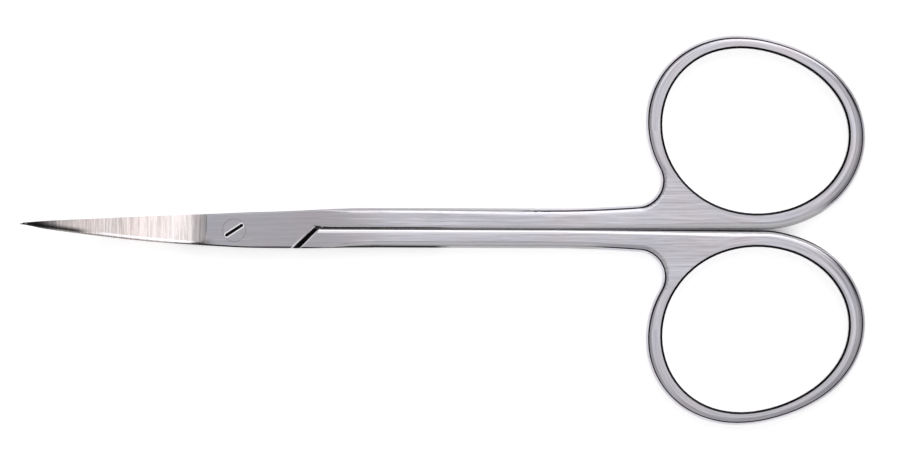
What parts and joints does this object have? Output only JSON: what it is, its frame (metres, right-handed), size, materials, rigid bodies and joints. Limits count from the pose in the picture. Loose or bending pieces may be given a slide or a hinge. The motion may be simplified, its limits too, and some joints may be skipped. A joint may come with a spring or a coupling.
{
  "type": "dissecting scissors",
  "caption": "Fine dissecting scissors with short curved pointed blades, a lapped joint on a flush slotted screw, slim shanks and oval finger rings, shown closed.",
  "frame": {"origin": "on the pivot axis, in the plane of the joint's underside", "axes": "+X to the finger rings, +Y to the ring of the near half, +Z to the head of the pivot screw"},
  "size_m": [0.1149, 0.053, 0.007],
  "materials": {
    "satin_steel": "satin, brushed along the shanks",
    "screw_steel": "satin"
  },
  "bodies": {
    "far": {"far_half": "satin_steel", "pivot_screw": "screw_steel"},
    "near": {"near_half": "satin_steel"}
  },
  "joints": [
    {"name": "blade_pivot", "type": "hinge", "parent": "far", "child": "near", "pos_m": [0, 0, 0.0015], "axis": [0, 0, 1], "range_deg": [0, 90]}
  ]
}
